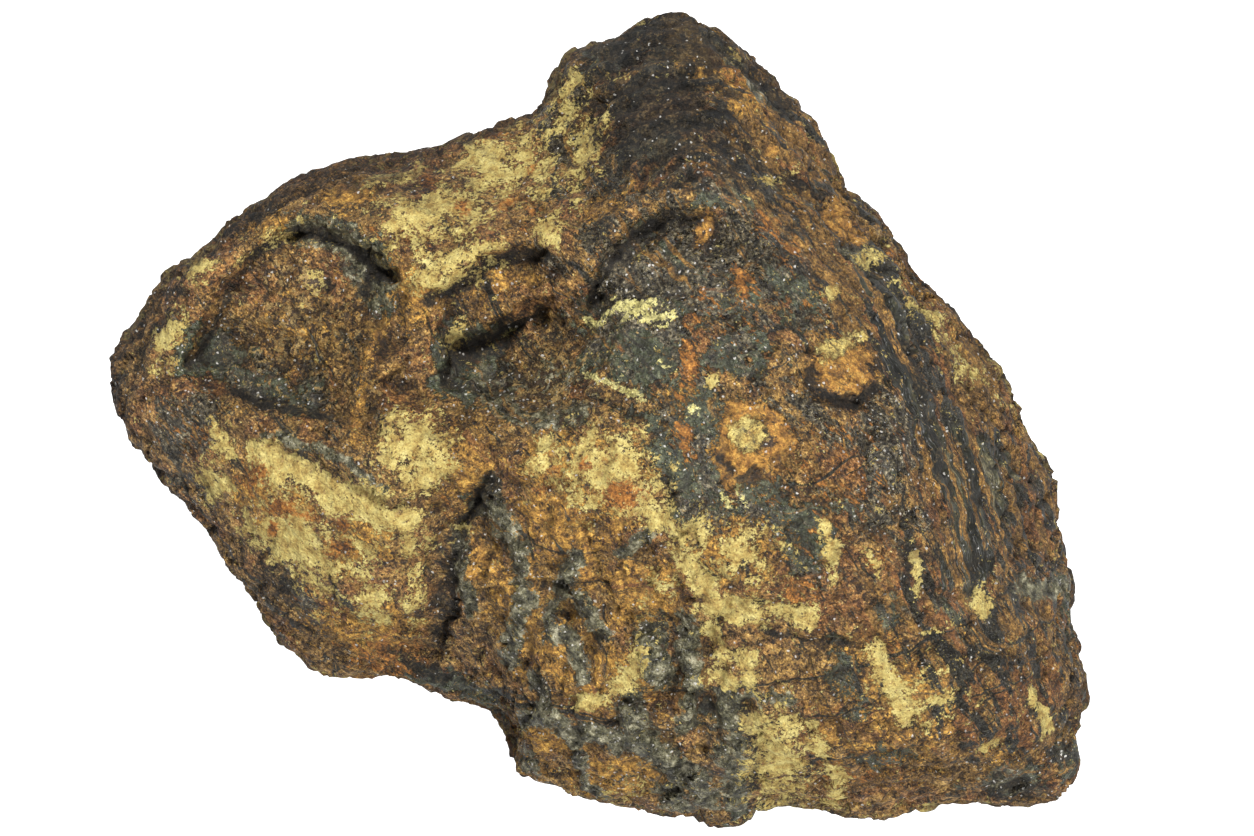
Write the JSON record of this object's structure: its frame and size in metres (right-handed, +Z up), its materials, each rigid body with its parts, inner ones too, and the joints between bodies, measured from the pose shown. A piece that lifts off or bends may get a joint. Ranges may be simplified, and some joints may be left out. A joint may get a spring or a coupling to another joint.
{
  "type": "meteorite",
  "caption": "Weathered iron meteorite: one lump with scooped hollows, a worn crest, a domed side and a flattened broken face that it rests on.",
  "frame": {"origin": "on the resting plane, under the middle of the outline as seen from above", "axes": "+Z up from the resting face to the domed upper face; +X along the longest side, from the thin tip to the thick end; +Y towards the peak of the outline"},
  "size_m": [0.09, 0.0752, 0.0368],
  "materials": {
    "rusted_iron": "granular rust-brown crust with tan clay, orange rust and dark grey oxide patches, low sheen"
  },
  "bodies": {
    "root": {"meteorite": "rusted_iron"}
  },
  "joints": []
}
